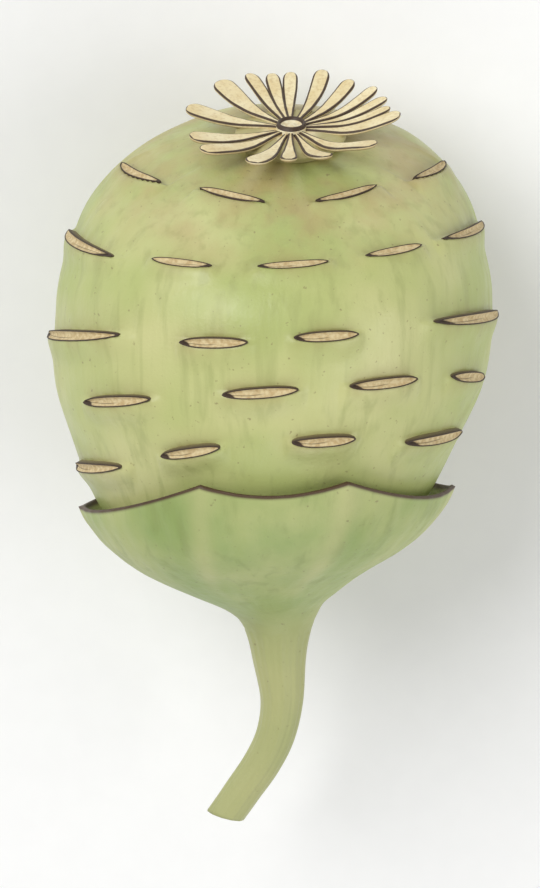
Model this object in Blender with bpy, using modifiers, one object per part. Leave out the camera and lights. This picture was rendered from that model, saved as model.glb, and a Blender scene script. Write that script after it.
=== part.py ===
# Water lily fruit on its cut stem, lying on its side.
#
# Each piece is modelled standing, in millimetres: its axis is +Z with the crown at the top, and the
# drawn front looks along -Y. A station is a height along that axis, and an azimuth is counted from
# the front towards +X. The parent empty then lays the whole fruit down, so that the crown points
# along +Y and the drawn front looks up.

import math
import random

import bmesh
import bpy
import numpy as np
from mathutils import Vector

MM = 0.001
GAP = 0.3

# Outline of the fruit from the crown to the base: station, radius.
POD_OUTLINE = (
    (14.6, 0.0),
    (14.9, 4.2),
    (14.3, 8.3),
    (12.5, 12.5),
    (9.2, 15.8),
    (4.7, 17.4),
    (0.0, 17.8),
    (-4.7, 17.4),
    (-9.1, 15.8),
    (-13.9, 13.7),
    (-16.6, 11.6),
    (-18.6, 8.6),
    (-19.8, 4.8),
    (-20.2, 0.0),
)
POD_SIDES = 60
AXIS_HEIGHT = 17.2

# The fruit grew askew: its axis shifts sideways along these stations, and its top nods to the front.
SPINE = (
    (18.0, 1.2),
    (9.0, 0.6),
    (0.0, 0.0),
    (-9.0, -0.6),
    (-14.0, -0.95),
    (-18.0, -1.45),
    (-20.4, -1.7),
    (-22.6, -0.8),
    (-24.6, 0.25),
    (-28.0, 0.5),
    (-31.5, 0.7),
    (-34.5, 0.2),
    (-37.0, -0.9),
    (-39.5, -2.5),
    (-42.0, -4.15),
    (-45.0, -6.3),
)
NOD = math.radians(14)
NOD_FROM = 2.0
NOD_TO = 15.0

# Rows of scars in front, as drawn: azimuth, station, length and slant, with the angles in degrees.
SCARS_DRAWN = (
    ((-83, 13.0, 6.2, 16), (-26, 14.1, 5.4, 0), (32, 14.1, 5.2, -2), (85, 13.1, 5.6, -16)),
    ((-76, 7.8, 12.4, 8), (-30, 9.9, 5.2, 6), (4, 10.6, 5.5, 4), (37, 10.6, 5.2, -5), (76, 9.1, 10.4, -13)),
    ((-67, 0.3, 14.6, 10), (-16, 1.8, 5.6, 3), (13, 2.4, 5.2, 1), (67, 1.75, 13.4, -7)),
    ((-45, -3.9, 7.6, 10), (-3, -2.1, 6.0, 5), (30, -1.8, 6.2, 0), (64, -2.9, 6.4, -10)),
    ((-67, -10.6, 10.5, 11), (-22, -7.4, 5.2, 14), (15, -6.2, 5.2, 0), (56, -7.5, 8.6, -4)),
)
# The same rows behind: station, its rise to the right, first and last azimuth, and how many.
SCARS_BEHIND = (
    (10.2, 0.0, 142, 218, 3),
    (6.4, 0.7, 128, 232, 4),
    (0.6, 0.9, 128, 232, 4),
    (-4.9, 1.0, 116, 246, 5),
    (-10.2, 1.4, 128, 232, 4),
)
BACK_LENGTHS = (5.5, 6.7)
BACK_UNEVEN = 0.1
SCAR_PROUD = 0.55
SCAR_SINK = 0.8
SCAR_CROWN_SIDE = 0.45
SCAR_STEM_SIDE = 1.4
SCAR_SPREAD = 1.12
NEAR = 0.3
SEED = 11

# Turned outline of the crown's disc, its knob and the dimple: station, radius.
CROWN_OUTLINE = (
    (16.25, 0.0),
    (16.2, 0.65),
    (16.5, 0.9),
    (16.5, 1.12),
    (16.2, 1.28),
    (15.95, 1.35),
    (15.8, 4.2),
    (15.5, 4.6),
    (15.25, 4.2),
    (15.25, 0.0),
)
CROWN_SHIFT = 0.35
# Rays in their order round the crown: azimuth of the tip in degrees, and its distance from the axis.
RAYS = (
    (-103, 8.8), (-67, 8.8), (-46, 9.8), (-18, 9.6), (-1, 8.3), (20, 8.4), (43, 9.7), (85, 8.8), (97, 8.0),
    (111, 8.2), (125, 8.3), (144, 8.2), (163, 8.6), (181, 8.4), (192, 8.3), (204, 8.9), (222, 9.0),
)
RAY_INNER = 1.0
RAY_SWEEP = 0.05
RAY_ROOT_STATION = 15.85
RAY_LEVEL_TO = 3.2
RAY_RISE_RUN = 7.5
RAY_RISE_CURVE = 1.2
RAY_TIP_RISE = 1.5
RAY_TILT = 0.45
RAY_FILL = 0.25
RAY_HALF_WIDTHS = (0.62, 1.05)
RAY_ROOT_HALF_WIDTH = 0.22
RAY_SPREAD_BY = 0.85
RAY_ROUND_FROM = 0.86
RAY_BLUNTNESS = 0.12
RAY_STEP_CURVE = 1.5
RAY_THICKNESS = 0.7

# The cup's outer outline from the rim to the stem's socket, and its rim's points by azimuth in degrees.
CUP_OUTLINE = (
    (-14.3, 15.05),
    (-15.2, 14.65),
    (-16.1, 14.05),
    (-18.0, 12.4),
    (-20.0, 9.75),
    (-22.1, 6.4),
    (-23.3, 4.4),
    (-24.5, 3.35),
)
CUP_RIM = -14.3
CUP_FIXED_BELOW = -19.5
CUP_WALL = 0.75
CUP_POINTS = ((-84, -15.0), (-18, -10.2), (23, -10.0), (81, -13.1), (144, -14.2), (210, -14.6))
CUP_SCALLOP = 0.9
CUP_SIDES = 60
SOCKET_RADIUS = 2.7
SOCKET_TOP = -22.5

# Radius of the stem by station, its droop and its slanting cut.
STEM_RADII = (
    (-22.9, 2.4),
    (-25.5, 2.4),
    (-28.0, 2.15),
    (-30.0, 1.9),
    (-32.0, 1.7),
    (-34.5, 1.58),
    (-38.0, 1.5),
    (-42.0, 1.44),
    (-45.0, 1.41),
)
STEM_SIDES = 16
STEM_DROOP_FROM = -27.0
STEM_DROOP = 3.0
STEM_DROOP_RUN = 22.0
STEM_TURN_RUN = 4.0
STEM_CUT = -41.7
STEM_CUT_NORMAL = (-0.25, 0.0, -0.97)


def ease(t):
    """Smooth step from 0 to 1."""
    t = min(max(t, 0.0), 1.0)
    return t * t * (3 - 2 * t)


def through(points, steps):
    """Smooth curve through the points, with this many steps between two of them."""
    points = np.array(points, float)
    first = 2 * points[0] - points[1]
    last = 2 * points[-1] - points[-2]
    if points[0][1] == 0:
        first = points[1] * (1, -1)
    if points[-1][1] == 0:
        last = points[-2] * (1, -1)
    knots = np.vstack([first, points, last])
    curve = []
    for a, b, c, d in zip(knots, knots[1:], knots[2:], knots[3:]):
        for step in range(steps):
            t = step / steps
            bend = 2 * a - 5 * b + 4 * c - d
            twist = 3 * (b - c) + d - a
            curve.append(0.5 * (2 * b + (c - a) * t + bend * t * t + twist * t**3))
    curve.append(points[-1])
    return np.array(curve)


POD_SKIN = through(POD_OUTLINE, 12)
SPINE_LINE = through(SPINE, 12)


def value_at(line, station):
    """The line's second value at a station, where the stations fall along the line."""
    return float(np.interp(-station, -line[:, 0], line[:, 1]))


def skin_radius(station):
    return value_at(POD_SKIN[12:], station)


def skin_normal(station):
    """How far the skin faces outward, and how far it faces the crown."""
    fall = skin_radius(station - NEAR) - skin_radius(station + NEAR)
    size = math.hypot(fall, 2 * NEAR)
    return 2 * NEAR / size, fall / size


def grown(azimuth, station, radius, shift=0.0):
    """Place of a turned point on the fruit that grew askew."""
    nod = math.tan(NOD * ease((station - NOD_FROM) / (NOD_TO - NOD_FROM)))
    height = station - nod * radius * math.cos(azimuth)
    side = radius * math.sin(azimuth) + value_at(SPINE_LINE, height) + shift
    return Vector((side, -radius * math.cos(azimuth), height))


def clear_scene():
    for old in list(bpy.data.objects):
        bpy.data.objects.remove(old, do_unlink=True)


def collection_named(name):
    group = bpy.data.collections.new(name)
    bpy.context.scene.collection.children.link(group)
    return group


def material(name, colour, roughness):
    skin = bpy.data.materials.new(name)
    skin.use_nodes = True
    shader = skin.node_tree.nodes["Principled BSDF"]
    shader.inputs["Base Color"].default_value = (*colour, 1)
    shader.inputs["Roughness"].default_value = roughness
    shader.inputs["Metallic"].default_value = 0.0
    return skin


def object_from(bm, name, group):
    """Object in metres from a bmesh in millimetres."""
    bmesh.ops.scale(bm, verts=bm.verts, vec=(MM, MM, MM))
    bmesh.ops.recalc_face_normals(bm, faces=bm.faces)
    mesh = bpy.data.meshes.new(name)
    bm.to_mesh(mesh)
    bm.free()
    made = bpy.data.objects.new(name, mesh)
    group.objects.link(made)
    return made


def apply_modifiers(thing):
    graph = bpy.context.evaluated_depsgraph_get()
    thing.data = bpy.data.meshes.new_from_object(thing.evaluated_get(graph))
    thing.modifiers.clear()


def turned(outline, sides, name, group):
    """Bmesh of an outline turned about the axis. The outline starts and ends on the axis."""
    bm = bmesh.new()
    line = [bm.verts.new((radius, 0, station)) for station, radius in outline]
    for a, b in zip(line, line[1:]):
        bm.edges.new((a, b))
    mesh = bpy.data.meshes.new(name)
    bm.to_mesh(mesh)
    bm.free()
    shape = bpy.data.objects.new(name, mesh)
    group.objects.link(shape)
    screw = shape.modifiers.new("turn", "SCREW")
    screw.steps = sides
    screw.render_steps = sides
    screw.use_merge_vertices = True
    screw.merge_threshold = 0.0001
    apply_modifiers(shape)
    bm = bmesh.new()
    bm.from_mesh(shape.data)
    bpy.data.objects.remove(shape)
    return bm


def polar(point):
    return math.atan2(point.x, -point.y), math.hypot(point.x, point.y)


def join_all(body, blanks):
    """Fuse a collection's objects into the body, then remove them."""
    union = body.modifiers.new("grown_on", "BOOLEAN")
    union.operation = "UNION"
    union.solver = "EXACT"
    union.operand_type = "COLLECTION"
    union.collection = blanks
    apply_modifiers(body)
    for blank in list(blanks.objects):
        bpy.data.objects.remove(blank)
    bpy.data.collections.remove(blanks)


def all_scars():
    """Azimuth, station, length and slant of every scar: first a row's drawn ones, then those behind."""
    dice = random.Random(SEED)
    found = []
    for drawn, behind in zip(SCARS_DRAWN, SCARS_BEHIND):
        for azimuth, station, length, slant in drawn:
            found.append((math.radians(azimuth), station, length, math.radians(slant)))
        station, rise, first, last, count = behind
        space = math.radians(last - first) / (count - 1)
        for n in range(count):
            azimuth = math.radians(first) + space * (n + dice.uniform(-BACK_UNEVEN, BACK_UNEVEN))
            found.append((azimuth, station + rise * math.sin(azimuth), dice.uniform(*BACK_LENGTHS), 0.0))
    return found


def scar_station(scar, turn):
    """Station of the scar's middle line at an azimuth."""
    azimuth, station, _, slant = scar
    run = (turn - azimuth) * skin_radius(station)
    return station + run * math.tan(slant) * skin_normal(station)[0]


def scar_blank(scar, group):
    """Ledge with its steep side to the crown, which dies away towards the stem."""
    bm = bmesh.new()
    bmesh.ops.create_uvsphere(bm, u_segments=12, v_segments=6, radius=1)
    buried = SCAR_SINK / (SCAR_SINK + SCAR_PROUD)
    azimuth, middle, length, _ = scar
    half = SCAR_SPREAD * length / 2 / math.sqrt(1 - buried**2)
    for vert in bm.verts:
        along, across, out = vert.co
        turn = azimuth + along * half / skin_radius(middle)
        reach = SCAR_CROWN_SIDE if across > 0 else SCAR_STEM_SIDE
        station = scar_station(scar, turn)
        outward, onward = skin_normal(station)
        station += across * reach * outward
        height = out * (SCAR_PROUD + SCAR_SINK) - SCAR_SINK
        vert.co = grown(turn, station + height * onward, skin_radius(station) + height * outward)
    object_from(bm, "scar_blank", group)


def make_pod_body(parts, cutters):
    bm = turned(POD_SKIN[::4], POD_SIDES, "pod_body", parts)
    for vert in bm.verts:
        azimuth, radius = polar(vert.co)
        vert.co = grown(azimuth, vert.co.z, radius)
    body = object_from(bm, "pod_body", parts)
    blanks = collection_named("scars")
    for scar in all_scars():
        scar_blank(scar, blanks)
    join_all(body, blanks)
    bm = bmesh.new()
    bmesh.ops.create_cube(bm, size=2 * AXIS_HEIGHT)
    bmesh.ops.translate(bm, verts=bm.verts, vec=(0, 2 * AXIS_HEIGHT, 0))
    floor_side = object_from(bm, "flat_spot_cutter", cutters)
    floor_side.hide_render = True
    floor_side.display_type = "WIRE"
    flat = body.modifiers.new("flat_spot", "BOOLEAN")
    flat.operation = "DIFFERENCE"
    flat.solver = "EXACT"
    flat.object = floor_side
    return body, floor_side


def ray_station(azimuth, radius):
    """Height of a ray's middle: level over the disc, then rising to its tip, and more so on the right."""
    rise = RAY_TIP_RISE + RAY_TILT * math.sin(azimuth)
    return RAY_ROOT_STATION + rise * ease((radius - RAY_LEVEL_TO) / RAY_RISE_RUN) ** RAY_RISE_CURVE


def ray_blank(azimuth, reach, sweep, half_width, group):
    """Strap that widens outwards to a round tip."""
    bm = bmesh.new()
    bmesh.ops.create_cube(bm, size=2)
    long_edges = [edge for edge in bm.edges if abs(edge.verts[0].co.x - edge.verts[1].co.x) > 1]
    bmesh.ops.subdivide_edges(bm, edges=long_edges, cuts=7, use_grid_fill=True)
    for vert in bm.verts:
        out = 1 - (1 - (vert.co.x + 1) / 2) ** RAY_STEP_CURVE
        radius = RAY_INNER + (reach - RAY_INNER) * out
        spread = ease(out / RAY_SPREAD_BY)
        rounding = max(0.0, (out - RAY_ROUND_FROM) / (1 - RAY_ROUND_FROM))
        tip = math.sqrt(max(RAY_BLUNTNESS, 1 - rounding**2))
        half = (RAY_ROOT_HALF_WIDTH + (half_width - RAY_ROOT_HALF_WIDTH) * spread) * tip
        station = ray_station(azimuth, radius) + vert.co.z * RAY_THICKNESS / 2
        turn = azimuth + sweep * (1 - out * out) + math.atan2(vert.co.y * half, radius)
        vert.co = grown(turn, station, radius, CROWN_SHIFT)
    object_from(bm, "ray_blank", group)


def make_stigma_crown(parts):
    bm = turned(CROWN_OUTLINE, 40, "stigma_crown", parts)
    for vert in bm.verts:
        azimuth, radius = polar(vert.co)
        vert.co = grown(azimuth, vert.co.z, radius, CROWN_SHIFT)
    crown = object_from(bm, "stigma_crown", parts)
    blanks = collection_named("rays")
    dice = random.Random(SEED)
    azimuths = [azimuth for azimuth, _ in RAYS]
    before = [azimuths[-1] - 360] + azimuths[:-1]
    after = azimuths[1:] + [azimuths[0] + 360]
    for low, (azimuth, reach), high in zip(before, RAYS, after):
        room = math.radians(high - low) / 2 * reach
        half_width = min(max(RAY_FILL * room, RAY_HALF_WIDTHS[0]), RAY_HALF_WIDTHS[1])
        sweep = dice.uniform(-RAY_SWEEP, RAY_SWEEP)
        ray_blank(math.radians(azimuth), reach, sweep, half_width, blanks)
    join_all(crown, blanks)
    return crown


def rim_station(azimuth):
    """Concave arcs hung between the rim's points."""
    first = CUP_POINTS[0][0]
    degrees = (math.degrees(azimuth) - first) % 360 + first
    points = CUP_POINTS + ((first + 360, CUP_POINTS[0][1]),)
    for (a, low), (b, high) in zip(points, points[1:]):
        if degrees <= b:
            t = (degrees - a) / (b - a)
            return low + (high - low) * t - CUP_SCALLOP * 4 * t * (1 - t)
    return CUP_RIM


def cup_inside():
    """The fruit's outline moved out by the gap, from the base to the rim."""
    base = POD_SKIN[POD_SKIN[:, 0] < CUP_RIM][::-1]
    along = np.gradient(base, axis=0)
    normal = np.stack([-along[:, 1], along[:, 0]], axis=1)
    normal /= np.linalg.norm(normal, axis=1)[:, None]
    inside = base + GAP * normal
    inside[0, 1] = 0.0
    return [tuple(point) for point in inside[:-2:5]]


def make_calyx_cup(parts):
    outside = [tuple(point) for point in through(CUP_OUTLINE, 2)]
    rim = (CUP_RIM, outside[0][1] - CUP_WALL)
    socket = [(CUP_OUTLINE[-1][0], SOCKET_RADIUS), (SOCKET_TOP, SOCKET_RADIUS), (SOCKET_TOP, 0.0)]
    bm = turned(cup_inside() + [rim] + outside + socket, CUP_SIDES, "calyx_cup", parts)
    for vert in bm.verts:
        azimuth, radius = polar(vert.co)
        station = vert.co.z
        stretch = ease((station - CUP_FIXED_BELOW) / (CUP_RIM - CUP_FIXED_BELOW))
        moved = station + stretch * (rim_station(azimuth) - CUP_RIM)
        if stretch > 0:
            radius += skin_radius(moved) - skin_radius(station)
        vert.co = grown(azimuth, moved, radius)
    return object_from(bm, "calyx_cup", parts)


def stem_point(station):
    droop = STEM_DROOP * ease((STEM_DROOP_FROM - station) / STEM_DROOP_RUN)
    return Vector((value_at(SPINE_LINE, station), droop, station))


def stem_frame(station):
    """Two directions across the stem: level in its socket, then square to its path."""
    path = (stem_point(station + NEAR) - stem_point(station - NEAR)).normalized()
    upright = Vector((0, 0, 1))
    path = upright.lerp(path, ease((CUP_OUTLINE[-1][0] - station) / STEM_TURN_RUN)).normalized()
    across = Vector((0, 1, 0)).cross(path).normalized()
    return across, path.cross(across)


def make_stem(parts):
    """Tapering stalk along the spine, cut on a slant."""
    stations = np.linspace(STEM_RADII[0][0], STEM_RADII[-1][0], 24)
    sides = [(station, value_at(np.array(STEM_RADII), station)) for station in stations]
    outline = [(stations[0], 0.0)] + sides + [(stations[-1], 0.0)]
    bm = turned(outline, STEM_SIDES, "stem", parts)
    for vert in bm.verts:
        azimuth, radius = polar(vert.co)
        across, front = stem_frame(vert.co.z)
        offset = across * math.sin(azimuth) + front * -math.cos(azimuth)
        vert.co = stem_point(vert.co.z) + offset * radius
    cut = bmesh.ops.bisect_plane(
        bm,
        geom=list(bm.verts) + list(bm.edges) + list(bm.faces),
        plane_co=stem_point(STEM_CUT),
        plane_no=STEM_CUT_NORMAL,
        clear_outer=True,
    )
    edges = [piece for piece in cut["geom_cut"] if isinstance(piece, bmesh.types.BMEdge)]
    bmesh.ops.contextual_create(bm, geom=edges)
    return object_from(bm, "stem", parts)


def main():
    clear_scene()
    parts = collection_named("water_lily_seed_pod")
    cutters = collection_named("cutters")
    lying = bpy.data.objects.new("lying_pose", None)
    parts.objects.link(lying)
    lying.rotation_euler = (-math.pi / 2, 0, 0)
    lying.location = (0, 0, AXIS_HEIGHT * MM)
    body, floor_side = make_pod_body(parts, cutters)
    crown = make_stigma_crown(parts)
    cup = make_calyx_cup(parts)
    stem = make_stem(parts)
    body.data.materials.append(material("pod_skin", (0.42, 0.45, 0.16), 0.45))
    crown.data.materials.append(material("crown_rays", (0.72, 0.6, 0.3), 0.6))
    cup.data.materials.append(material("calyx_green", (0.2, 0.27, 0.08), 0.5))
    stem.data.materials.append(material("stem_green", (0.24, 0.26, 0.1), 0.45))
    for piece in (body, floor_side, crown, cup, stem):
        piece.parent = lying
    for piece in (body, crown, cup, stem):
        piece.data.shade_smooth()
        piece.data.set_sharp_from_angle(angle=math.radians(40))


main()
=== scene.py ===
import math
import random

import bmesh
import bpy
import numpy as np
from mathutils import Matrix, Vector


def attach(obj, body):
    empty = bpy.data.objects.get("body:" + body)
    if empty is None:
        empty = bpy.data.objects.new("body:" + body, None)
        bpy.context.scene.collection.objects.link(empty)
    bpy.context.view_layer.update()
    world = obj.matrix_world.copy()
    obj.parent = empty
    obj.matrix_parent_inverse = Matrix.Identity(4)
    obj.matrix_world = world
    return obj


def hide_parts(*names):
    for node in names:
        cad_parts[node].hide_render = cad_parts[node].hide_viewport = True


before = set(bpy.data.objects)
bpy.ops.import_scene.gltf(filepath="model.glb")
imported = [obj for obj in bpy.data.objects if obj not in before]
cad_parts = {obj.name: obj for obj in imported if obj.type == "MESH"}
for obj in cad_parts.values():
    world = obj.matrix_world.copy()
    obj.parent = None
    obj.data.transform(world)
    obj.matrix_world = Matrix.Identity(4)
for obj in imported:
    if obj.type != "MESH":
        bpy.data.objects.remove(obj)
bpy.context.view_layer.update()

# A water lily fruit lying on its side, seen from above. Every piece is worked out round the fruit's
# own axis, in millimetres: a station is a place along the axis (crown end positive), an azimuth is
# counted from the side that faces up, towards +X. layOut() turns that into metres in the frame.
mm = 0.001
curveSteps = 12
fruit = {
    "axisHeight": 17.2,
    "outline": [        # station, radius, from the crown to the base
        (14.6, 0.0), (14.9, 4.2), (14.3, 8.3), (12.5, 12.5), (9.2, 15.8), (4.7, 17.4), (0.0, 17.8),
        (-4.7, 17.4), (-9.1, 15.8), (-13.9, 13.7), (-16.6, 11.6), (-18.6, 8.6), (-19.8, 4.8), (-20.2, 0.0),
    ],
    "seatRadius": 4.2,              # the crown's seat, inside which the skin faces along the axis
    "spine": [          # station, how far the axis has strayed to +X
        (18.0, 1.2), (9.0, 0.6), (0.0, 0.0), (-9.0, -0.6), (-14.0, -0.95), (-18.0, -1.45), (-20.4, -1.7),
        (-22.6, -0.8), (-24.6, 0.25), (-28.0, 0.5), (-31.5, 0.7), (-34.5, 0.2), (-37.0, -0.9),
        (-39.5, -2.5), (-42.0, -4.15), (-45.0, -6.3),
    ],
    "nod": math.radians(14),        # the crown end leans to the upper side
    "nodFrom": 2.0,
    "nodTo": 15.0,
    "slopeStep": 0.3,
    "seed": 11,
}


def ease(t):
    t = np.clip(t, 0, 1)
    return t * t * (3 - 2 * t)


def bell(t):
    return np.exp(-t ** 2)


def through(points, steps):        # a smooth curve through the points
    points = np.array(points, float)
    first = 2 * points[0] - points[1]
    last = 2 * points[-1] - points[-2]
    if points[0][1] == 0:
        first = points[1] * (1, -1)
    if points[-1][1] == 0:
        last = points[-2] * (1, -1)
    knots = np.vstack([first, points, last])
    curve = []
    for a, b, c, d in zip(knots, knots[1:], knots[2:], knots[3:]):
        for step in range(steps):
            t = step / steps
            bend = 2 * a - 5 * b + 4 * c - d
            twist = 3 * (b - c) + d - a
            curve.append(0.5 * (2 * b + (c - a) * t + bend * t * t + twist * t**3))
    curve.append(points[-1])
    return np.array(curve)


skinLine = through(fruit["outline"], curveSteps)
spineLine = through(fruit["spine"], curveSteps)
sideLine = skinLine[curveSteps:]        # from the crown's seat down, where the stations only fall


def valueAt(line, station):
    return np.interp(-np.asarray(station), -line[:, 0], line[:, 1])


def spread(line, rows):        # stations and radii at even steps along a line
    spots = np.linspace(0, len(line) - 1, rows)
    return np.interp(spots, range(len(line)), line[:, 0]), np.interp(spots, range(len(line)), line[:, 1])


def skinRadius(station):
    return valueAt(sideLine, station)


def skinSlope(station):
    step = fruit["slopeStep"]
    return (skinRadius(station + step) - skinRadius(station - step)) / (2 * step)


def layOut(azimuth, station, radius, shift=0.0):
    nod = np.tan(fruit["nod"] * ease((station - fruit["nodFrom"]) / (fruit["nodTo"] - fruit["nodFrom"])))
    along = station - nod * radius * np.cos(azimuth)
    side = radius * np.sin(azimuth) + valueAt(spineLine, along) + shift
    return np.stack([side, along, fruit["axisHeight"] + radius * np.cos(azimuth)], axis=1) * mm


def spunGrid(rows, sides):        # a straight tube of unit radius: z counts the rows
    bm = bmesh.new()
    line = [bm.verts.new((0, 1, row)) for row in range(rows)]
    edges = [bm.edges.new(pair) for pair in zip(line, line[1:])]
    bmesh.ops.spin(bm, geom=line + edges, cent=(0, 0, 0), axis=(0, 0, -1), angle=2 * math.pi,
                   steps=sides, use_merge=True)
    return bm


def readGrid(bm):        # azimuth and row of every point
    points = np.array([vert.co for vert in bm.verts])
    return np.arctan2(points[:, 0], points[:, 1]), np.rint(points[:, 2]).astype(int)


def placeGrid(bm, points, shades):        # moves the points and keeps named shades on them
    layers = {name: bm.verts.layers.float.new(name) for name in shades}
    for index, vert in enumerate(bm.verts):
        vert.co = points[index]
        for name, layer in layers.items():
            vert[layer] = float(shades[name][index])
    bmesh.ops.remove_doubles(bm, verts=bm.verts, dist=1e-7)
    return bm


def makePiece(name, parts, material, nodes=()):        # joins bmeshes into one finished piece
    mesh = bpy.data.meshes.new(name)
    whole = bmesh.new()
    for bm in parts:
        bmesh.ops.recalc_face_normals(bm, faces=bm.faces)
        bm.to_mesh(mesh)
        bm.free()
        whole.from_mesh(mesh)
    whole.to_mesh(mesh)
    whole.free()
    mesh.shade_smooth()
    mesh.materials.append(material)
    piece = bpy.data.objects.new(name, mesh)
    bpy.context.scene.collection.objects.link(piece)
    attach(piece, "root")
    if nodes:
        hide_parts(*nodes)
    print(name, len(mesh.polygons), "faces")


# Scars: rows of short ledges, where petals and stamens broke off.
scars = {
    "drawn": [        # azimuth, station, length and slant
        [(-81, 13.1, 6.6, 21), (-26, 14.1, 5.4, 0), (32, 14.1, 5.2, -2), (84, 13.1, 5.8, -21)],
        [(-76, 7.8, 12.4, 8), (-30, 9.9, 5.2, 6), (4, 10.6, 5.5, 4), (37, 10.6, 5.2, -5),
         (76, 9.1, 10.4, -13)],
        [(-67, 0.3, 14.6, 10), (-16, 1.8, 5.6, 3), (13, 2.4, 5.2, 1), (67, 1.75, 13.4, -7)],
        [(-45, -3.9, 7.6, 10), (-3, -2.1, 6.0, 5), (30, -1.8, 6.2, 0), (64, -2.9, 6.4, -10)],
        [(-67, -10.6, 10.5, 11), (-22, -7.4, 5.2, 14), (15, -6.2, 5.2, 0), (56, -7.5, 8.6, -4)],
    ],
    "behind": [        # station, its rise to +X, first and last azimuth, how many
        (10.2, 0.0, 142, 218, 3), (6.4, 0.7, 128, 232, 4), (0.6, 0.9, 128, 232, 4), (-4.9, 1.0, 116, 246, 5),
        (-10.2, 1.4, 128, 232, 4),
    ],
    "backLengths": (5.5, 6.7),
    "backUneven": 0.1,
    "halfHeight": 0.44,
    "blunt": 2.4,               # the lens's outline: how full it is, and how sharp its ends are
    "sharp": 0.65,
    "drop": 0.9,
    "proud": 0.52,
    "spread": 1.2,
    "fade": 2.6,                # the skin's slope down from a ledge, towards the stem
    "fadeCurve": 1.4,
    "leastHalf": 0.16,
    "steepFrom": 0.55,
    "undercut": 0.3,            # how deep the skin runs under a lens
    "undercutRun": 0.22,
    "evenEdge": 0.27,
    "setIn": 0.3,               # how far the skin above a scar at the side is set in
    "setInRun": 4.5,
    "setInCurve": 1.5,
    "setInAbove": -2.0,         # the scars below this station have none
    "setInFade": 3.0,
    "nearAlong": 1.6,
    "nearAcross": 6.0,
    "haloFrom": 0.85,
    "haloWidth": 0.7,
    "overlap": 0.03,
    "lip": 0.12,
    "lipInset": 0.1,
    "lipWidth": 0.13,
    "hollow": 0.14,
    "hollowRun": 0.3,
    "pit": 0.02,                # the dark end is a little deeper
    "pitFrom": 0.5,
    "pitTo": 0.97,
    "faceLevel": 0.86,
    "faceTilt": 0.14,
    "wallFoot": 0.1,
    "lowerEdge": 0.12,
    "skirt": 0.5,
    "inkWidth": 0.17,
    "inkBlur": 0.08,
    "inkTip": 0.9,
    "darkFrom": 0.66,
    "darkRun": 0.22,
    "fold": 0.6,                # a thin crease along the face
    "foldWidth": 0.12,
    "foldOffset": 0.28,
    "alongSteps": 56,
    "acrossSteps": 22,
}


def allScars():        # in the solids' order
    dice = random.Random(fruit["seed"])
    found = []
    for number, (drawn, behind) in enumerate(zip(scars["drawn"], scars["behind"])):
        for azimuth, station, length, slant in drawn:
            darkEnd = 1 if number < 2 and azimuth < 0 else -1
            found.append({"azimuth": math.radians(azimuth), "station": station, "length": length,
                          "slant": math.radians(slant), "darkEnd": darkEnd})
        station, rise, first, last, count = behind
        space = math.radians(last - first) / (count - 1)
        for n in range(count):
            off = dice.uniform(-scars["backUneven"], scars["backUneven"])
            azimuth = math.radians(first) + space * (n + off)
            length = dice.uniform(*scars["backLengths"])
            found.append({"azimuth": azimuth, "station": station + rise * math.sin(azimuth),
                          "length": length, "slant": 0.0, "darkEnd": -1})
    return found


def scarStation(scar, turn):        # station of the scar's middle line, which slants along the skin
    run = (turn - scar["azimuth"]) * skinRadius(scar["station"])
    return scar["station"] + run * math.tan(scar["slant"]) / np.hypot(1, skinSlope(scar["station"]))


def lensDrop(course):        # a ledge on the shoulder sits a little towards the stem
    slope = skinSlope(course)
    return scars["drop"] * np.clip(-slope / np.hypot(1, slope), 0, 1) ** 1.5


def lensHeight(along):
    return scars["halfHeight"] * np.clip(1 - np.abs(along) ** scars["blunt"], 0, 1) ** scars["sharp"]


def ledgeCrest(along):        # the swelling runs on past the ends of its lens
    return scars["proud"] * np.sqrt(np.clip(1 - (along / scars["spread"]) ** 4, 0, 1))


def setInDepth(scar):        # the skin above a scar at the side is set in, which steps the outline
    fading = float(ease((scar["station"] - scars["setInAbove"]) / scars["setInFade"]))
    return scars["setIn"] * math.sin(scar["azimuth"]) ** 2 * fading


def arcAt(station):        # distance along the outline, from the crown's seat
    steps = np.hypot(*np.diff(sideLine, axis=0).T)
    arcs = np.concatenate([[0], np.cumsum(steps)])
    return np.interp(-np.asarray(station), -sideLine[:, 0], arcs)


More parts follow.
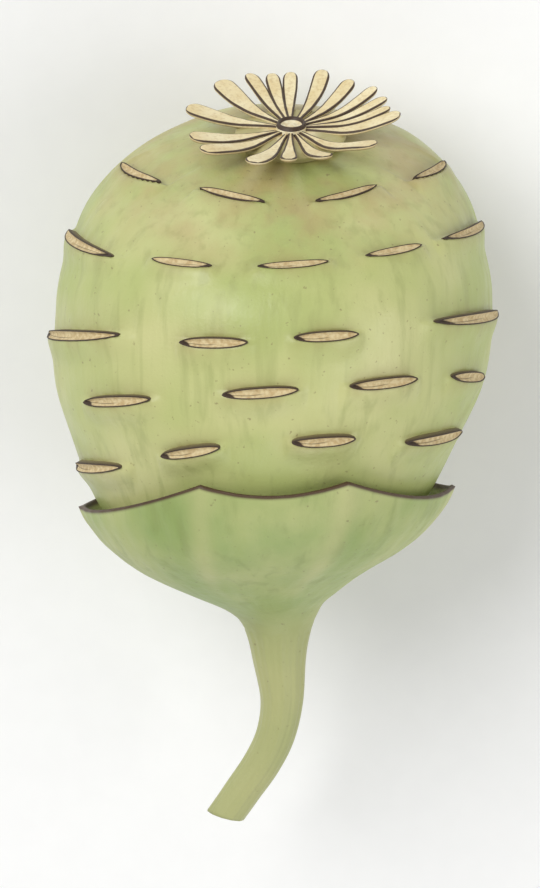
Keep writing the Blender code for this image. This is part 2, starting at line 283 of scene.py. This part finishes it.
def scarRelief(azimuth, station, radius):        # height of the ledges on the skin, and a halo round them
    relief = np.zeros(len(azimuth))
    halo = np.zeros(len(azimuth))
    farOff = -9.0        # the crown's seat has no scars
    arcs = np.where(radius > fruit["seatRadius"], arcAt(station), farOff)
    for scar in allScars():
        turn = (azimuth - scar["azimuth"] + math.pi) % (2 * math.pi) - math.pi
        along = turn * skinRadius(scar["station"]) / (scar["length"] / 2)
        course = scarStation(scar, scar["azimuth"] + turn)
        across = arcAt(course) + lensDrop(course) - arcs
        near = (np.abs(along) < scars["nearAlong"]) & (np.abs(across) < scars["nearAcross"])
        u, t = along[near], across[near]
        h = lensHeight(u)
        crest = ledgeCrest(u)
        wide = np.maximum(h, scars["leastHalf"])
        start = -scars["steepFrom"] * wide        # under the lens, so that its edge lies on even skin
        steep = np.clip((wide - t) / (wide - start), 0, 1)
        faded = (1 - ease((-wide - t) / scars["fade"])) ** scars["fadeCurve"]
        height = crest * np.where(t < -wide, faded, steep)
        inward = np.where(t < 0, scars["evenEdge"] * h, 0)        # no undercut close to the lower edge
        height -= scars["undercut"] * ease((h - np.abs(t) - inward) / scars["undercutRun"])
        setIn = (1 - steep) * (1 - ease((t - wide) / scars["setInRun"])) ** scars["setInCurve"]
        height -= setInDepth(scar) * crest / scars["proud"] * setIn
        relief[near] += np.where(np.abs(u) < scars["spread"], height, 0.0)
        pastEnd = np.maximum(np.abs(u) - scars["haloFrom"], 0) * scar["length"] / 2
        away = np.hypot(pastEnd, np.maximum(np.abs(t) - h, 0))
        halo[near] = np.maximum(halo[near], np.exp(-away / scars["haloWidth"]))
    return relief, halo


# The fruit's own skin, with a slow unevenness of its flesh.
pod = {
    "rows": 230,
    "sides": 400,
    "waves": [        # height, turns round the fruit, twist along it, start
        (0.07, 3, 0.14, 0.8), (0.05, 5, -0.2, 0.0), (0.03, 9, 0.35, 2.1),
    ],
    "flatAzimuth": 1.6,             # one shoulder is flatter
    "flatStation": 7.3,
    "flatWide": 0.6,
    "flatLong": 4.0,
    "flatDepth": 0.48,
    "evenSeat": 6.0,
    "evenBelow": -17.0,
    "evenRun": 3.0,
    "blushFrom": 8.0,
    "blushRun": 6.0,
}


def wobble(azimuth, station):
    waves = sum(height * np.sin(turns * azimuth + twist * station + start)
                for height, turns, twist, start in pod["waves"])
    flat = np.exp(-((azimuth - pod["flatAzimuth"]) / pod["flatWide"]) ** 2
                  - ((station - pod["flatStation"]) / pod["flatLong"]) ** 2)
    return waves - pod["flatDepth"] * flat


def makePod(material):
    stations, radii = spread(skinLine, pod["rows"])
    bm = spunGrid(pod["rows"], pod["sides"])
    azimuth, row = readGrid(bm)
    station, radius = stations[row], radii[row]
    relief, halo = scarRelief(azimuth, station, radius)
    uneven = ease(radius / pod["evenSeat"]) * ease((station - pod["evenBelow"]) / pod["evenRun"])
    relief += wobble(azimuth, station) * uneven
    tilt = np.hypot(1, skinSlope(station))
    side = radius > fruit["seatRadius"]
    outward = np.where(side, 1 / tilt, 0.0)
    onward = np.where(side, -skinSlope(station) / tilt, 1.0)
    points = layOut(azimuth, station + relief * onward, radius + relief * outward)
    points[:, 2] = np.maximum(points[:, 2], 0)        # the flat spot that it lies on
    crownNear = ease((station - pod["blushFrom"]) / pod["blushRun"])
    placeGrid(bm, points, {"halo": halo, "crownNear": crownNear})
    makePiece("podSkin", [bm], material, ["pod_body"])


def lensGrid():        # a square grid with a skirt round its edge, closed below
    bm = bmesh.new()
    bmesh.ops.create_grid(bm, x_segments=scars["alongSteps"], y_segments=scars["acrossSteps"], size=1)
    rim = [edge for edge in bm.edges if edge.is_boundary]
    grown = bmesh.ops.extrude_edge_only(bm, edges=rim)["geom"]
    skirt = [item for item in grown if isinstance(item, bmesh.types.BMVert)]
    bmesh.ops.translate(bm, verts=skirt, vec=(0, 0, -1))
    bmesh.ops.holes_fill(bm, edges=[item for item in grown if isinstance(item, bmesh.types.BMEdge)], sides=0)
    return bm


def scarPatch(scar):        # one lens with a raised lip, a hollow face and a steep side to the crown
    middle, dark = scar["azimuth"], scar["darkEnd"]
    bm = lensGrid()
    spots = np.array([vert.co for vert in bm.verts])
    u = np.sin(spots[:, 0] * math.pi / 2)        # finer towards the pointed ends
    w = spots[:, 1]
    upper, lower = w > 0.999, w < -0.999
    h = lensHeight(u) + scars["overlap"]
    azimuth = middle + u * scar["length"] / 2 / skinRadius(scar["station"])
    inset = h * (1 - np.abs(w))
    dome = np.clip(1 - w**2, 0, 1)
    lip = scars["lip"] * bell((inset - scars["lipInset"]) / scars["lipWidth"])
    hollow = scars["hollow"] * dome ** 1.5 * ease(h / scars["hollowRun"])
    pit = scars["pit"] * ease((dark * u - scars["pitFrom"]) / 0.2) * ease((scars["pitTo"] - dark * u) / 0.1)
    height = ledgeCrest(u) * (scars["faceLevel"] - scars["faceTilt"] * w) + lip - hollow - pit * dome
    height = np.where(upper, -scars["wallFoot"] - setInDepth(scar) * ledgeCrest(u) / scars["proud"], height)
    height -= np.where(lower, scars["lowerEdge"], 0.0)
    height -= np.where(spots[:, 2] < -0.5, scars["skirt"], 0.0)
    course = scarStation(scar, azimuth)
    course = course + (w * h - lensDrop(course)) / np.hypot(1, skinSlope(course))
    height += wobble(azimuth, course)
    slope = skinSlope(course)
    tilt = np.hypot(1, slope)
    points = layOut(azimuth, course - height * slope / tilt, skinRadius(course) + height / tilt)
    points[:, 2] = np.maximum(points[:, 2], -0.01 * mm)
    edgeInk = ease((scars["inkWidth"] - inset) / scars["inkBlur"])
    tipInk = ease((np.abs(u) - scars["inkTip"]) / scars["inkBlur"])
    darkInk = ease((dark * u - scars["darkFrom"] - 0.2 * w) / scars["darkRun"])
    crease = w + scars["foldOffset"] - 0.1 * np.sin(5 * u + middle)
    foldInk = scars["fold"] * bell(crease / scars["foldWidth"]) * ease((dark * u + 0.5) / 0.6)
    ink = np.maximum.reduce([edgeInk, tipInk, darkInk, foldInk])
    return placeGrid(bm, points, {"ink": ink, "foot": np.where(upper, 1.0, 0.0)})


def makeScars(material):
    patches = [scarPatch(scar) for scar in allScars()]
    makePiece("scarFaces", patches, material)


# Crown: a low disc, strap-shaped rays and a ringed knob.
crown = {
    "shift": 0.35,
    "discOutline": [(15.85, 0.0), (15.85, 2.0), (15.75, 3.9), (15.5, 4.5), (15.1, 4.3), (14.7, 3.6),
                    (14.4, 0.0)],
    "discRows": 40,
    "discSides": 120,
    "discDarkFrom": 1.6,
    "discDarkRun": 1.2,
    "knobOutline": [(16.26, 0.0), (16.22, 0.3), (16.14, 0.58), (16.22, 0.82), (16.42, 0.94), (16.5, 1.04),
                    (16.42, 1.14), (16.2, 1.22), (15.9, 1.22), (15.5, 1.28), (15.2, 0.0)],
    "knobRows": 60,
    "knobSides": 90,
    "ringFrom": 0.82,
    "ringAbove": 16.14,
    "rays": [           # azimuth of the tip, and its distance from the axis
        (-103, 8.8), (-67, 8.8), (-46, 9.8), (-18, 9.6), (-1, 8.3), (20, 8.4), (43, 9.7), (85, 8.8),
        (97, 8.0), (111, 8.2), (125, 8.3), (144, 8.2), (163, 8.6), (181, 8.4), (192, 8.3), (204, 8.9),
        (222, 9.0),
    ],
    "inner": 0.9,
    "rootStation": 15.85,
    "tipRise": 1.5,
    "riseFrom": 3.2,
    "riseRun": 7.5,
    "tilt": 0.45,
    "sweep": 0.05,
    "fill": 0.25,
    "halfWidths": (0.62, 1.05),
    "overlap": 0.05,
    "rootHalfWidth": 0.21,
    "rootEnd": 0.04,
    "widestAt": 0.85,
    "tipFrom": 0.88,
    "halfThickness": 0.26,
    "trough": 0.3,
    "underNarrow": 0.3,
    "rimWidth": 0.2,
    "rimBlur": 0.06,
    "rayRows": 64,
    "raySides": 36,
}


def turnedPart(outline, rows, sides, shadesAt):
    stations, radii = spread(through(outline, 8), rows)
    bm = spunGrid(rows, sides)
    azimuth, row = readGrid(bm)
    station, radius = stations[row], np.maximum(radii[row], 0)
    return placeGrid(bm, layOut(azimuth, station, radius, crown["shift"]), shadesAt(station, radius))


def discShades(station, radius):
    dark = ease((radius - crown["discDarkFrom"]) / crown["discDarkRun"])
    return {"rim": 0 * radius, "under": 0 * radius, "disc": dark}


def knobShades(station, radius):
    return {"ring": ease((radius - crown["ringFrom"]) / 0.08) * ease((station - crown["ringAbove"]) / 0.1)}


def signedPower(wave, power):        # fuller or thinner than the sine, with its sign
    return np.sign(wave) * np.abs(wave) ** power


def rayPart(middle, reach, sweep, halfWidth, rise):
    bm = spunGrid(crown["rayRows"], crown["raySides"])
    around, row = readGrid(bm)
    run = row / (crown["rayRows"] - 1)
    out = np.sin(run * math.pi / 2) ** 1.1
    tip = np.sqrt(np.clip(1 - np.clip((out - crown["tipFrom"]) / (1 - crown["tipFrom"]), 0, 1) ** 2, 0, 1))
    root = np.sqrt(np.clip(run / crown["rootEnd"], 0, 1))
    half = crown["rootHalfWidth"] + (halfWidth - crown["rootHalfWidth"]) * ease(out / crown["widestAt"])
    across = signedPower(np.sin(around), 0.8) * half * tip * root
    up = signedPower(np.cos(around), 0.45) * crown["halfThickness"] * np.sqrt(tip) * root
    radius = crown["inner"] + (reach - crown["inner"]) * out
    edge = np.abs(across) / np.maximum(half, 0.01)
    up = np.where(up > 0, up * (1 - crown["trough"] * (1 - edge**2)), up)
    lift = crown["tipRise"] + crown["tilt"] * math.sin(middle)
    station = crown["rootStation"] + rise + up
    station += lift * ease((radius - crown["riseFrom"]) / crown["riseRun"]) ** 1.2
    across *= 1 - crown["underNarrow"] * np.clip(-up / crown["halfThickness"], 0, 1)
    turn = middle + sweep * (1 - out * out) + np.arctan2(across, radius)
    inset = (1 - edge / np.maximum(tip, 0.01)) * half
    rim = np.maximum(ease((crown["rimWidth"] - inset) / crown["rimBlur"]), ease((out - 0.98) / 0.015))
    rim *= ease((up + 0.02) / 0.1)
    # painted shade: the underside and lower half of each ray's sides, which the material darkens to brown
    under = ease((0.02 - up) / 0.1)
    points = layOut(turn, station, np.hypot(radius, across), crown["shift"])
    return placeGrid(bm, points, {"rim": rim, "under": under, "disc": 0 * out})


def makeCrown(rayMaterial, knobMaterial):
    dice = random.Random(fruit["seed"])
    parts = []
    azimuths = [ray[0] for ray in crown["rays"]]
    before = [azimuths[-1] - 360] + azimuths[:-1]
    after = azimuths[1:] + [azimuths[0] + 360]
    for number, (low, (azimuth, reach), high) in enumerate(zip(before, crown["rays"], after)):
        room = math.radians(high - low) / 2 * reach
        halfWidth = min(max(crown["fill"] * room, crown["halfWidths"][0]), crown["halfWidths"][1])
        sweep = dice.uniform(-crown["sweep"], crown["sweep"])
        rise = crown["overlap"] * (-1) ** number
        parts.append(rayPart(math.radians(azimuth), reach, sweep, halfWidth, rise))
    parts.append(turnedPart(crown["discOutline"], crown["discRows"], crown["discSides"], discShades))
    makePiece("crownRays", parts, rayMaterial, ["stigma_crown"])
    knob = turnedPart(crown["knobOutline"], crown["knobRows"], crown["knobSides"], knobShades)
    makePiece("crownKnob", [knob], knobMaterial)


# Cup and stem: one skin from the cup's inside over its rim and down the stalk to the cut.
cup = {
    "rim": -14.3,
    "fixedBelow": -19.5,
    "wall": 0.3,
    "gap": 0.12,
    "lipSteps": 8,
    "lipHeight": 0.12,
    "outside": [(-14.3, 15.05), (-15.2, 14.65), (-16.1, 14.05), (-18.0, 12.4), (-20.0, 9.75), (-22.1, 6.4),
                (-23.3, 4.45), (-24.4, 3.3), (-25.4, 2.75)],
    "points": ((-84, -15.0), (-18, -10.2), (23, -10.0), (81, -13.1), (144, -14.2), (210, -14.6)),
    "scallop": 0.9,
    "rib": 0.16,
    "ribWidth": 5.0,            # in degrees to either side of a point of the rim
    "ribFrom": -23.0,
    "ribRun": 5.0,
    "ridge": 0.03,              # fine ridges that run up the cup and bend a little
    "ridges": 46,
    "ridgeBend": 1.5,
    "ridgeFrom": -24.0,
    "ridgeRun": 4.0,
    "unevenFrom": -24.0,
    "unevenRun": 5.0,
    "paleWidth": 4.0,
    "paleFrom": -22.0,
    "paleRun": 4.0,
    "edgeWidth": 0.28,
    "insideRows": 40,
    "outsideRows": 70,
    "stemRows": 70,
    "cutRows": 26,
    "sides": 300,
}
stem = {
    "radii": [(-25.4, 2.75), (-26.6, 2.42), (-28.0, 2.17), (-30.0, 1.9), (-32.0, 1.7), (-34.5, 1.58),
              (-38.0, 1.5), (-42.0, 1.44), (-45.0, 1.41)],
    "squareFrom": -24.5,        # from here on its rings turn from level to square with its path
    "squareRun": 4.0,
    "droopFrom": -27.0,
    "droopRun": 22.0,
    "droop": 3.0,
    "cut": -41.7,
    "cutNormal": (-0.25, -0.97, 0.0),
    "slantFrom": -35.5,
    "slantRun": 5.7,
    "canals": [(0.72, 0.33, 4, 0.4), (1.22, 0.13, 9, 0.1)],        # ring radius, canal radius, count, turn
    "canalDepth": 1.4,
    "canalBlur": 0.07,
    "ripples": [(0.012, 11, 0.2), (0.008, 23, 0.0)],        # share of the radius, count, twist
    "toneFrom": -21.5,
    "toneRun": 5.0,
}


def rimStation(azimuth):        # concave arcs hung between the rim's points, and the nearest point's distance
    first = cup["points"][0]
    degrees = (np.degrees(azimuth) - first[0]) % 360 + first[0]
    points = cup["points"] + ((first[0] + 360, first[1]),)
    station = np.zeros(len(azimuth))
    nearest = np.full(len(azimuth), 180.0)
    for (a, low), (b, high) in zip(points, points[1:]):
        inside = (degrees >= a) & (degrees <= b)
        t = (degrees[inside] - a) / (b - a)
        station[inside] = low + (high - low) * t - cup["scallop"] * 4 * t * (1 - t)
        nearest[inside] = np.minimum(t, 1 - t) * (b - a)
    return station, nearest


def stemCentre(station):
    droop = stem["droop"] * ease((stem["droopFrom"] - station) / stem["droopRun"])
    return np.stack([valueAt(spineLine, station), station, fruit["axisHeight"] - droop], axis=1)


def unit(vectors):
    return vectors / np.linalg.norm(vectors, axis=1)[:, None]


def stemFrame(station):        # the stalk's path, and two directions across it
    path = unit(stemCentre(station - 0.5) - stemCentre(station + 0.5))
    turn = ease((stem["squareFrom"] - station) / stem["squareRun"])[:, None]
    path = unit(np.array([0, -1, 0]) * (1 - turn) + path * turn)
    across = -unit(np.cross(path, [0, 0, 1]))
    return path, across, -np.cross(across, path)


def insideLine():        # up the cup's inner wall, which leaves the skin towards the rim
    inside = sideLine[sideLine[:, 0] < cup["rim"]][::-1]
    station, radius = spread(inside, cup["insideRows"])
    lift = ease((station - cup["fixedBelow"]) / (cup["rim"] - cup["fixedBelow"]))
    station[-1] = cup["rim"]
    radius += cup["gap"] + (cup["outside"][0][1] - cup["wall"] - radius[-1] - cup["gap"]) * lift**2
    station -= cup["gap"] * (1 - lift)
    radius[0] = 0
    return station, radius


def lipLine():
    turn = np.linspace(0, math.pi, cup["lipSteps"])[1:-1]
    radius = cup["outside"][0][1] - cup["wall"] + cup["wall"] * (1 - np.cos(turn)) / 2
    return cup["rim"] + cup["lipHeight"] * np.sin(turn), radius


def stalkLine():
    station = np.linspace(stem["radii"][0][0], stem["cut"], cup["stemRows"])[1:]
    return station, valueAt(through(stem["radii"], 8), station)


def cutLine(stalkEnd):
    radius = np.linspace(1, 0, cup["cutRows"])[1:] * stalkEnd
    return np.full(len(radius), stem["cut"]), radius


def canalDepths(azimuth, radius):        # 1 in the stalk's air canals, 0 between them
    deep = np.zeros(len(azimuth))
    for ringRadius, canalRadius, count, turn in stem["canals"]:
        for n in range(count):
            angle = turn + 2 * math.pi * n / count
            away = np.hypot(radius * np.sin(azimuth) - ringRadius * math.sin(angle),
                            radius * np.cos(azimuth) - ringRadius * math.cos(angle))
            deep = np.maximum(deep, ease((canalRadius - away) / stem["canalBlur"]))
    return deep


def stalkPlaces(azimuth, station, radius, isCut, deep):        # rings round the stalk, slanted near its cut
    path, across, front = stemFrame(station)
    offset = across * np.sin(azimuth)[:, None] + front * np.cos(azimuth)[:, None]
    ripple = 1 + sum(share * np.sin(azimuth * count + station * twist)
                     for share, count, twist in stem["ripples"])
    offset *= (radius * np.where(isCut, 1, ripple))[:, None]
    normal = np.array(stem["cutNormal"])
    slide = -(offset @ normal) / (path @ normal) * ease((stem["slantFrom"] - station) / stem["slantRun"])
    return (stemCentre(station) + offset + path * (slide - deep * stem["canalDepth"])[:, None]) * mm


def makeCupAndStem(material):
    outside = spread(through(cup["outside"], 10), cup["outsideRows"])
    stalk = stalkLine()
    lines = [insideLine(), lipLine(), outside, stalk, cutLine(stalk[1][-1])]
    stations = np.concatenate([line[0] for line in lines])
    radii = np.concatenate([line[1] for line in lines])
    lipStart, lipEnd, stalkStart, cutStart = np.cumsum([len(line[0]) for line in lines])[:4]

    bm = spunGrid(len(stations), cup["sides"])
    azimuth, row = readGrid(bm)
    station, radius = stations[row], radii[row]
    isLip = (row >= lipStart) & (row < lipEnd)
    isOuter = (row >= lipEnd) & (row < stalkStart)
    isCut = row >= cutStart
    rim, nearest = rimStation(azimuth)
    stretch = ease((station - cup["fixedBelow"]) / (cup["rim"] - cup["fixedBelow"]))
    moved = station + stretch * (rim - cup["rim"])
    radius = radius + np.where(stretch > 0, skinRadius(moved) - skinRadius(station), 0)
    ribs = cup["rib"] * bell(nearest / cup["ribWidth"]) * ease((moved - cup["ribFrom"]) / cup["ribRun"])
    ridges = np.sin(azimuth * cup["ridges"] + cup["ridgeBend"] * np.sin(moved * 0.5))
    ridges *= cup["ridge"] * ease((moved - cup["ridgeFrom"]) / cup["ridgeRun"])
    uneven = wobble(azimuth, moved) * ease((moved - cup["unevenFrom"]) / cup["unevenRun"])
    radius += np.where(isOuter, ribs + ridges + uneven, 0)
    deep = canalDepths(azimuth, radius) * isCut
    stalkPoints = stalkPlaces(azimuth, station, radius, isCut, deep)
    points = np.where((row >= stalkStart)[:, None], stalkPoints, layOut(azimuth, moved, radius))
    rimEdge = np.exp(-np.abs(moved - rim) / cup["edgeWidth"]) * (stretch > 0.5)
    pale = ease((moved - cup["paleFrom"]) / cup["paleRun"])
    shades = {
        "rimEdge": np.where(isLip, 1.0, rimEdge),
        "stalk": ease((stem["toneFrom"] - station) / stem["toneRun"]),
        "cutFace": np.where(isCut, 1.0, 0.0),
        "ribNear": bell(nearest / cup["paleWidth"]) * pale * isOuter,
        # painted shade: the air canals in the cut face, which are also sunk in
        "canalShade": deep,
    }
    placeGrid(bm, points, shades)
    makePiece("cupAndStem", [bm], material, ["calyx_cup", "stem"])


# Materials. Each reads Object coordinates and the shades that its own piece carries.
def newMaterial(name, roughness, coat=0.0):
    material = bpy.data.materials.new(name)
    material.use_nodes = True
    shader = material.node_tree.nodes["Principled BSDF"]
    shader.inputs["Roughness"].default_value = roughness
    shader.inputs["Coat Weight"].default_value = coat
    shader.inputs["Coat Roughness"].default_value = 0.35
    return material, material.node_tree, shader


def noise(tree, scale, detail=4.0, stretch=(1, 1, 1), distortion=0.0):
    where = tree.nodes.new("ShaderNodeTexCoord")
    mapping = tree.nodes.new("ShaderNodeMapping")
    mapping.inputs["Scale"].default_value = stretch
    texture = tree.nodes.new("ShaderNodeTexNoise")
    texture.inputs["Scale"].default_value = scale
    texture.inputs["Detail"].default_value = detail
    texture.inputs["Distortion"].default_value = distortion
    tree.links.new(where.outputs["Object"], mapping.inputs["Vector"])
    tree.links.new(mapping.outputs["Vector"], texture.inputs["Vector"])
    return texture.outputs["Fac"]


def shade(tree, name):
    attribute = tree.nodes.new("ShaderNodeAttribute")
    attribute.attribute_name = name
    return attribute.outputs["Fac"]


def ranged(tree, value, low, high, bottom=0.0, top=1.0):
    span = tree.nodes.new("ShaderNodeMapRange")
    span.interpolation_type = "SMOOTHSTEP"
    span.inputs["From Min"].default_value = low
    span.inputs["From Max"].default_value = high
    span.inputs["To Min"].default_value = bottom
    span.inputs["To Max"].default_value = top
    tree.links.new(value, span.inputs["Value"])
    return span.outputs["Result"]


def times(tree, a, b):
    product = tree.nodes.new("ShaderNodeMath")
    product.operation = "MULTIPLY"
    for value, socket in zip((a, b), product.inputs):
        if isinstance(value, (int, float)):
            socket.default_value = value
        else:
            tree.links.new(value, socket)
    return product.outputs["Value"]


def blend(tree, amount, under, over):        # colours are given or linked
    mix = tree.nodes.new("ShaderNodeMix")
    mix.data_type = "RGBA"
    tree.links.new(amount, mix.inputs["Factor"])
    for value, socket in ((under, mix.inputs["A"]), (over, mix.inputs["B"])):
        if isinstance(value, tuple):
            socket.default_value = (*value, 1)
        else:
            tree.links.new(value, socket)
    return mix.outputs["Result"]


def bumped(tree, shader, heights):        # height sources with their strengths and depths in metres
    last = None
    for value, strength, depth in heights:
        bump = tree.nodes.new("ShaderNodeBump")
        bump.inputs["Strength"].default_value = strength
        bump.inputs["Distance"].default_value = depth
        tree.links.new(value, bump.inputs["Height"])
        if last:
            tree.links.new(last, bump.inputs["Normal"])
        last = bump.outputs["Normal"]
    tree.links.new(last, shader.inputs["Normal"])


def podMaterial():
    material, tree, shader = newMaterial("podSkinGreen", 0.42, 0.12)
    patches = ranged(tree, noise(tree, 70, 3), 0.35, 0.68)
    colour = blend(tree, patches, (0.4, 0.46, 0.15), (0.56, 0.56, 0.25))
    streaks = ranged(tree, noise(tree, 900, 5, (1, 0.09, 1), 0.3), 0.48, 0.72)
    colour = blend(tree, times(tree, streaks, 0.5), colour, (0.34, 0.37, 0.13))
    blush = times(tree, shade(tree, "crownNear"), ranged(tree, noise(tree, 260, 5), 0.3, 0.7))
    colour = blend(tree, times(tree, blush, 0.45), colour, (0.43, 0.25, 0.12))
    halo = times(tree, shade(tree, "halo"), ranged(tree, noise(tree, 500, 4), 0.2, 0.75))
    colour = blend(tree, times(tree, halo, 0.45), colour, (0.3, 0.2, 0.08))
    specks = ranged(tree, noise(tree, 2400, 2), 0.68, 0.76)
    colour = blend(tree, times(tree, specks, 0.55), colour, (0.2, 0.14, 0.06))
    tree.links.new(colour, shader.inputs["Base Color"])
    tree.links.new(ranged(tree, noise(tree, 400, 3), 0.3, 0.7, 0.36, 0.52), shader.inputs["Roughness"])
    pores = noise(tree, 3500, 3)
    furrows = noise(tree, 700, 4, (1, 0.2, 1))
    bumped(tree, shader, [(pores, 0.25, 0.0001), (furrows, 0.3, 0.0003)])
    return material


def scarMaterial():
    material, tree, shader = newMaterial("scarBrown", 0.7)
    grain = ranged(tree, noise(tree, 2600, 4), 0.3, 0.7)
    face = blend(tree, grain, (0.68, 0.57, 0.33), (0.5, 0.37, 0.18))
    ink = ranged(tree, shade(tree, "ink"), 0.25, 0.75)
    colour = blend(tree, ink, face, (0.045, 0.026, 0.014))
    colour = blend(tree, shade(tree, "foot"), colour, (0.24, 0.2, 0.08))
    tree.links.new(colour, shader.inputs["Base Color"])
    bumped(tree, shader, [(noise(tree, 4500, 3), 0.5, 0.00012)])
    return material


def rayMaterial():
    material, tree, shader = newMaterial("rayCream", 0.55)
    tone = ranged(tree, noise(tree, 420, 4), 0.3, 0.7)
    colour = blend(tree, tone, (0.86, 0.76, 0.48), (0.74, 0.6, 0.31))
    grain = ranged(tree, noise(tree, 3200, 3), 0.45, 0.7)
    colour = blend(tree, times(tree, grain, 0.35), colour, (0.5, 0.33, 0.13))
    colour = blend(tree, times(tree, shade(tree, "disc"), 0.75), colour, (0.33, 0.31, 0.11))
    # painted shade: a darker brown on the rays' undersides and lower sides
    colour = blend(tree, times(tree, shade(tree, "under"), 0.8), colour, (0.36, 0.26, 0.12))
    colour = blend(tree, ranged(tree, shade(tree, "rim"), 0.3, 0.8), colour, (0.06, 0.033, 0.016))
    tree.links.new(colour, shader.inputs["Base Color"])
    bumped(tree, shader, [(noise(tree, 5200, 2), 0.5, 0.0001)])
    return material


def knobMaterial():
    material, tree, shader = newMaterial("knobRing", 0.5)
    grain = ranged(tree, noise(tree, 2600, 3), 0.35, 0.65)
    pale = blend(tree, grain, (0.85, 0.78, 0.55), (0.7, 0.58, 0.34))
    colour = blend(tree, ranged(tree, shade(tree, "ring"), 0.2, 0.7), pale, (0.05, 0.027, 0.014))
    tree.links.new(colour, shader.inputs["Base Color"])
    bumped(tree, shader, [(noise(tree, 4200, 3), 0.4, 0.0001)])
    return material


def cupMaterial():
    material, tree, shader = newMaterial("calyxGreen", 0.5, 0.05)
    patches = ranged(tree, noise(tree, 110, 4), 0.3, 0.7)
    colour = blend(tree, patches, (0.27, 0.36, 0.11), (0.42, 0.46, 0.18))
    veins = ranged(tree, noise(tree, 700, 5, (1, 0.08, 1), 0.4), 0.5, 0.72)
    colour = blend(tree, times(tree, veins, 0.45), colour, (0.22, 0.27, 0.08))
    colour = blend(tree, times(tree, shade(tree, "ribNear"), 0.35), colour, (0.6, 0.56, 0.28))
    colour = blend(tree, times(tree, shade(tree, "stalk"), 0.6), colour, (0.42, 0.4, 0.19))
    edge = ranged(tree, shade(tree, "rimEdge"), 0.25, 0.85)
    colour = blend(tree, edge, colour, (0.075, 0.04, 0.018))
    specks = ranged(tree, noise(tree, 1900, 3), 0.66, 0.76)
    colour = blend(tree, times(tree, specks, 0.5), colour, (0.16, 0.11, 0.05))
    colour = blend(tree, shade(tree, "cutFace"), colour, (0.66, 0.62, 0.4))
    # painted shade: the canals in the cut face coloured near black
    colour = blend(tree, shade(tree, "canalShade"), colour, (0.1, 0.08, 0.04))
    tree.links.new(colour, shader.inputs["Base Color"])
    pores = noise(tree, 3000, 3)
    furrows = noise(tree, 900, 3, (1, 0.1, 1))
    bumped(tree, shader, [(pores, 0.3, 0.0001), (furrows, 0.35, 0.0003)])
    return material


# Stage, light and camera.
view = {
    "millimetresPerPixel": 0.0813,
    "widePixels": 540,
    "highPixels": 888,
    "axisPixel": (273.5, 322.0),        # where the fruit's middle stands in the drawing
    "lean": math.radians(12),           # how far the camera leans to the crown end
    "distance": 1.0,
}


def makeStage():
    bm = bmesh.new()
    bmesh.ops.create_grid(bm, x_segments=1, y_segments=1, size=3)
    mesh = bpy.data.meshes.new("floor")
    bm.to_mesh(mesh)
    bm.free()
    material, tree, shader = newMaterial("paleFloor", 0.9)
    mottle = ranged(tree, noise(tree, 400, 3), 0.3, 0.7)
    paper = blend(tree, mottle, (0.875, 0.875, 0.87), (0.885, 0.885, 0.88))
    tree.links.new(paper, shader.inputs["Base Color"])
    mesh.materials.append(material)
    floor = bpy.data.objects.new("floor", mesh)
    bpy.context.scene.collection.objects.link(floor)


def areaLight(name, place, size, power):
    data = bpy.data.lights.new(name, "AREA")
    data.shape = "DISK"
    data.size = size
    data.energy = power
    light = bpy.data.objects.new(name, data)
    light.location = place
    light.rotation_mode = "QUATERNION"
    light.rotation_quaternion = (Vector((0, 0, 0.02)) - light.location).to_track_quat("-Z", "Y")
    light.visible_camera = False
    bpy.context.scene.collection.objects.link(light)


def makeLights():
    areaLight("key", (-0.55, 0.5, 0.85), 0.8, 8.6)
    areaLight("fill", (0.8, -0.2, 0.7), 0.9, 4)
    areaLight("low", (0.1, -0.9, 0.35), 0.6, 1.5)
    world = bpy.data.worlds.new("studio")
    world.use_nodes = True
    world.node_tree.nodes["Background"].inputs["Color"].default_value = (1, 1, 1, 1)
    world.node_tree.nodes["Background"].inputs["Strength"].default_value = 0.43
    bpy.context.scene.world = world
    bpy.context.scene.view_settings.view_transform = "Standard"


def makeCamera():
    scale = view["millimetresPerPixel"] * mm
    data = bpy.data.cameras.new("camera")
    data.sensor_width = 36
    data.lens = data.sensor_width * view["distance"] / (view["highPixels"] * scale)
    data.clip_start = 0.05
    data.clip_end = 20
    camera = bpy.data.objects.new("camera", data)
    down = Vector((0, -math.sin(view["lean"]), -math.cos(view["lean"])))
    aside = (view["widePixels"] / 2 - view["axisPixel"][0]) * scale
    below = (view["axisPixel"][1] - view["highPixels"] / 2) * scale / math.cos(view["lean"])
    aim = Vector((aside, below, fruit["axisHeight"] * mm))
    camera.location = aim - down * view["distance"]
    camera.rotation_euler = (-view["lean"], 0, 0)
    bpy.context.scene.collection.objects.link(camera)
    bpy.context.scene.camera = camera


print("stage, lights and camera")
makeStage()
makeLights()
makeCamera()
print("fruit")
makePod(podMaterial())
makeScars(scarMaterial())
print("crown")
makeCrown(rayMaterial(), knobMaterial())
print("cup and stem")
makeCupAndStem(cupMaterial())
